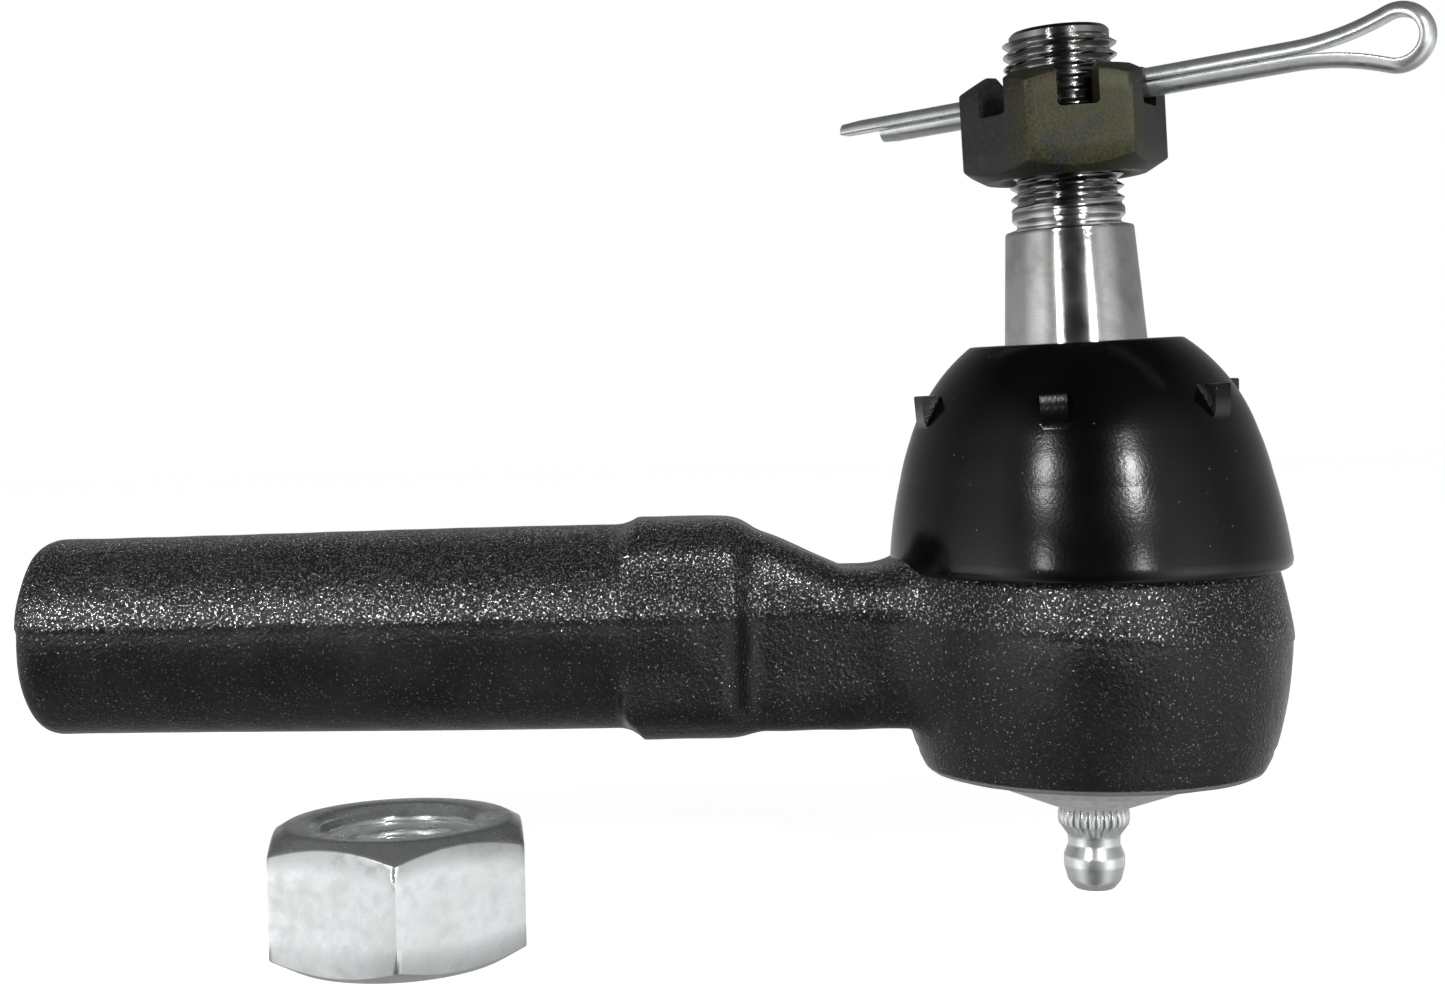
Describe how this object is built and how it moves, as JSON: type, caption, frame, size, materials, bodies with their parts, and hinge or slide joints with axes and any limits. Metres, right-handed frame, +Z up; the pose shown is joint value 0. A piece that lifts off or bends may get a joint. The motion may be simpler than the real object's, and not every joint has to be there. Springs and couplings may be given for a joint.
{
  "type": "tie rod end",
  "caption": "Outer tie rod end: black forged housing with a female M16 sleeve, greaseable ball joint, M12 tapered stud, rubber boot, slotted nut, cotter pin and a loose jam nut.",
  "frame": {"origin": "centre of the ball, where the sleeve's bore axis and the socket's axis cross", "axes": "-X along the sleeve towards its open end, +Z up out of the socket's mouth, -Z towards the grease fitting"},
  "size_m": [0.1434, 0.055, 0.093],
  "materials": {
    "forging_black": "rough cast, black paint",
    "stud_steel": "ground and polished",
    "phosphate_steel": "dark phosphate",
    "zinc_steel": "bright zinc plate",
    "plain_steel": "plain pressed steel",
    "spring_steel": "oiled spring steel",
    "boot_rubber": "semi-gloss black rubber",
    "liner_polymer": "natural acetal"
  },
  "bodies": {
    "housing": {"housing": "forging_black", "upper_ball_seat": "plain_steel", "lower_ball_seat": "plain_steel", "preload_spring": "spring_steel", "end_cover": "plain_steel", "grease_fitting_body": "zinc_steel", "grease_fitting_spring": "spring_steel"},
    "liner": {"bearing_liner": "liner_polymer"},
    "boot": {"dust_boot": "boot_rubber"},
    "stud": {"ball_stud": "stud_steel", "castle_nut": "phosphate_steel"},
    "cotter": {"cotter_pin": "zinc_steel"},
    "check_ball": {"grease_fitting_ball": "plain_steel"},
    "jam_nut": {"jam_nut": "zinc_steel"}
  },
  "joints": [
    {"name": "stud_tilt_front", "type": "hinge", "parent": "housing", "child": "liner", "pos_m": [0, 0, 0], "axis": [1, 0, 0], "range_deg": [-20, 14], "deforming": ["dust_boot"]},
    {"name": "stud_tilt_rod", "type": "hinge", "parent": "liner", "child": "boot", "pos_m": [0, 0, 0], "axis": [0, 0.9986, 0.0523], "range_deg": [-14, 20]},
    {"name": "stud_spin", "type": "hinge", "parent": "boot", "child": "stud", "pos_m": [0, 0, 0], "axis": [-0.0523, -0.0523, 0.9973], "continuous": true},
    {"name": "cotter_slide", "type": "slide", "parent": "stud", "child": "cotter", "axis": [0.8536, -0.5182, 0.0526], "range_m": [-0.012, 0.045]},
    {"name": "grease_check", "type": "slide", "parent": "housing", "child": "check_ball", "axis": [0, 0, 1], "range_m": [0, 0.0008], "stiffness_N_per_m": 300, "springref_m": -0.002, "deforming": ["grease_fitting_spring"]},
    {"name": "jam_nut_slide", "type": "slide", "parent": "housing", "child": "jam_nut", "axis": [0, -1, 0], "range_m": [0, 0.05]}
  ]
}
